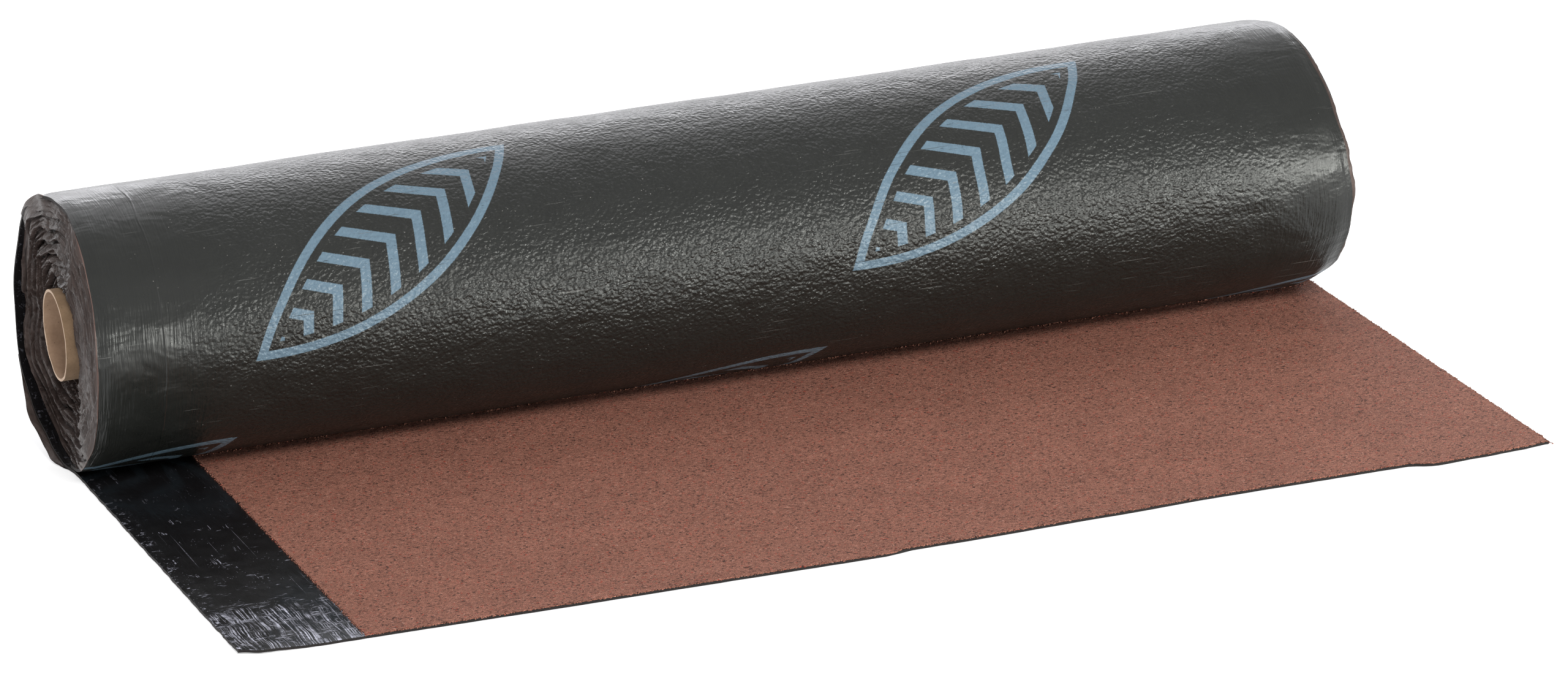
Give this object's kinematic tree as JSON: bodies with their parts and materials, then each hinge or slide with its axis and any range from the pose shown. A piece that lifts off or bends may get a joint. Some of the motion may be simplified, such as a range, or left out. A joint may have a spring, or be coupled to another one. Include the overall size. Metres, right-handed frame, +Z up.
{
  "type": "roll of roofing felt",
  "caption": "Roll of mineral-surfaced bitumen roofing felt on a cardboard tube, with its outer end unrolled flat as a tail.",
  "frame": {"origin": "on the floor under the middle of the part's box, between the roll and the tail's cut end", "axes": "+X along the roll towards its right end, +Y from the tail's cut end towards the roll's back, +Z up"},
  "size_m": [1.0196, 0.6018, 0.2145],
  "materials": {
    "bitumen_film": "satin",
    "mineral_granules": "rough",
    "kraft_cardboard": "matte"
  },
  "bodies": {
    "root": {"felt_sheet": "bitumen_film", "granule_layer": "mineral_granules", "core_tube": "kraft_cardboard"}
  },
  "joints": []
}
